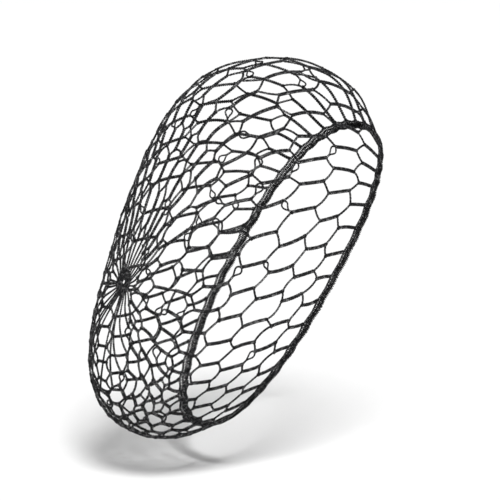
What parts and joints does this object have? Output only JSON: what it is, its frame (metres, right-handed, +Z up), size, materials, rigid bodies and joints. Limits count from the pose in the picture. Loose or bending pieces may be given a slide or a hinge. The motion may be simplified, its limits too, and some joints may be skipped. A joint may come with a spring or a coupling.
{
  "type": "crocheted snood hairnet",
  "caption": "Crocheted snood hairnet in its worn form: a hollow bag of coarse hexagonal net worked from a small back ring to a close band and an elastic round a slanted open mouth.",
  "frame": {"origin": "centre of the mouth, in the plane of its elastic, where the net sits on the wearer's head", "axes": "+Z up, -Y the way the wearer looks, +X the wearer's left; the bag hangs towards +Y"},
  "size_m": [0.1798, 0.2888, 0.3388],
  "materials": {
    "ring_yarn": "tight silky crochet",
    "net_yarn": "silky chain-stitch yarn",
    "band_yarn": "close silky stitches",
    "elastic": "matt covered elastic"
  },
  "bodies": {
    "root": {"centre_ring": "ring_yarn", "net_bag": "net_yarn", "edge_band": "band_yarn", "elastic_cord": "elastic"}
  },
  "joints": []
}
